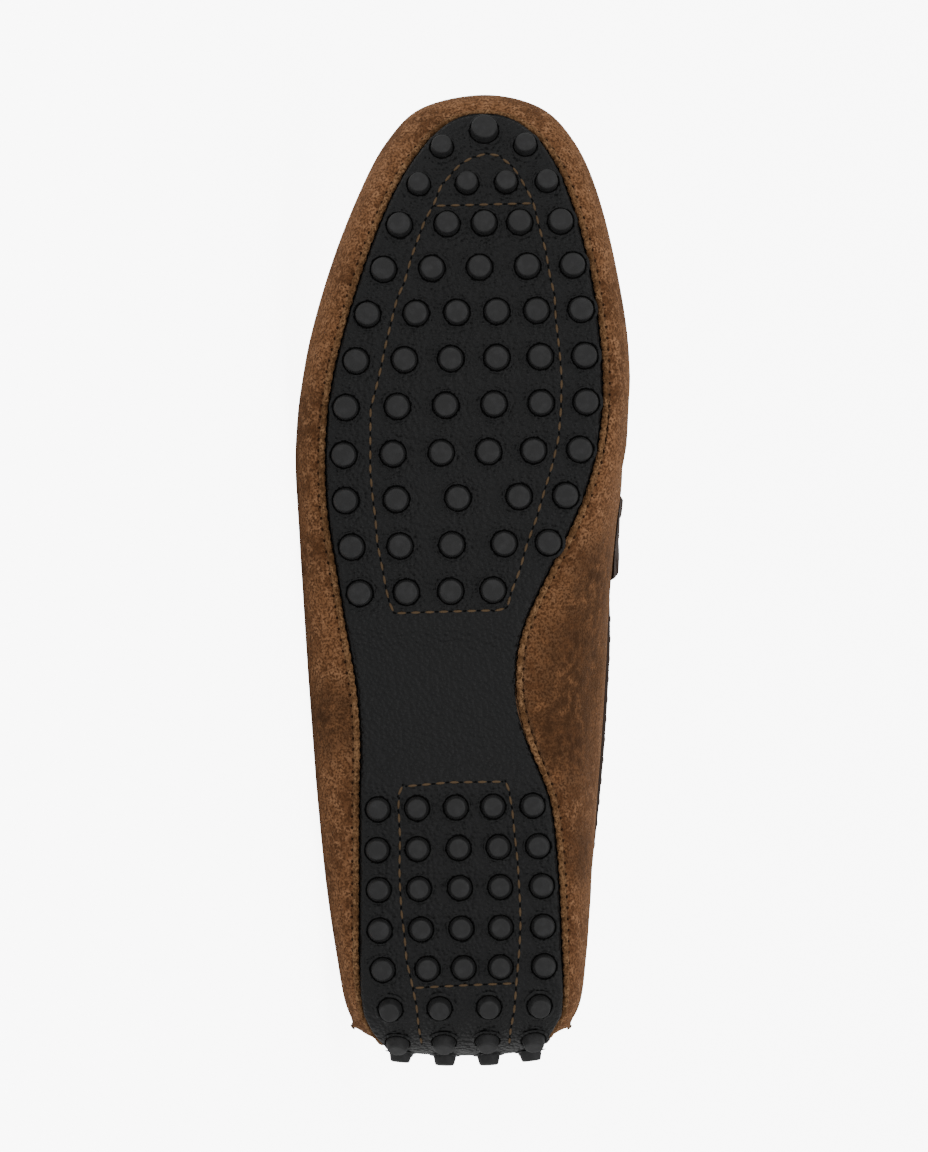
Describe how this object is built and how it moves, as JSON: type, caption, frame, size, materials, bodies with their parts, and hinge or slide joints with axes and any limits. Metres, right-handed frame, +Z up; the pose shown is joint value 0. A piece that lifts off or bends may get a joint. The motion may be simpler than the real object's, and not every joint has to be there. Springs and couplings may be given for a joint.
{
  "type": "driving moccasin",
  "caption": "Right brown suede driving moccasin with a black leather sole pad, round rubber studs that wrap up the heel, a braided strap and a bound collar, lying on its outer side",
  "frame": {"origin": "middle of the overall box, on the floor that the shoe lies on", "axes": "+X from toe to heel; +Y from the sole towards the collar; +Z up, from the outer side to the inner side of the foot"},
  "size_m": [0.2892, 0.0762, 0.1],
  "materials": {
    "suede": "brown suede with a mottled nap",
    "sole_leather": "black pebbled leather, satin",
    "stud_rubber": "black rubber, matt",
    "sock_leather": "tan sock leather",
    "tongue_suede": "brown suede",
    "braided_leather": "dark brown braided leather, satin",
    "binding_leather": "dark brown smooth leather, satin"
  },
  "bodies": {
    "root": {"upper": "suede", "outsole": "sole_leather", "forefoot_studs": "stud_rubber", "heel_studs": "stud_rubber", "insole": "sock_leather", "tongue": "tongue_suede", "saddle_strap": "braided_leather", "collar_binding": "binding_leather"}
  },
  "joints": []
}
